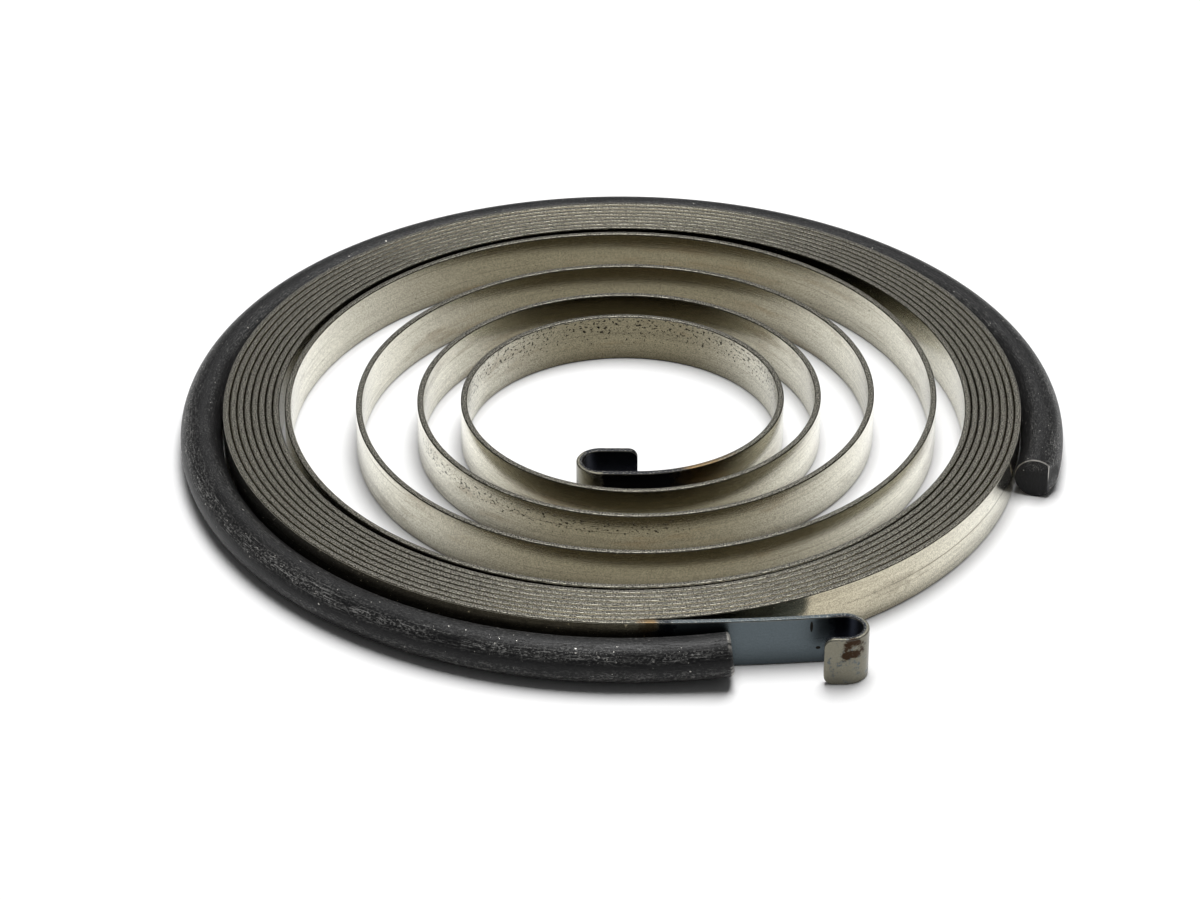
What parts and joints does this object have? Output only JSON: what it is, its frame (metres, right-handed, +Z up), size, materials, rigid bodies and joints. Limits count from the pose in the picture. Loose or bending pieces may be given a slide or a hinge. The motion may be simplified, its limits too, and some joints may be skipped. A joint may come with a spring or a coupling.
{
  "type": "spiral spring",
  "caption": "Flat spiral spring of strip steel with a hook at each end, wound up and held compressed in an open ring of black wire.",
  "frame": {"origin": "on the wound pack's axis, at the floor that the strip's lower edge stands on", "axes": "+Z up along the pack's axis, -Y towards the inner hook and the ring's front end, +X towards the outer hook"},
  "size_m": [0.1055, 0.1059, 0.006],
  "materials": {
    "spring_steel": "bright rolled strip, stained and pitted, tempered blue at the outer end",
    "black_wire": "black oxide, scuffed"
  },
  "bodies": {
    "root": {"spiral_spring": "spring_steel", "retaining_ring": "black_wire"}
  },
  "joints": []
}
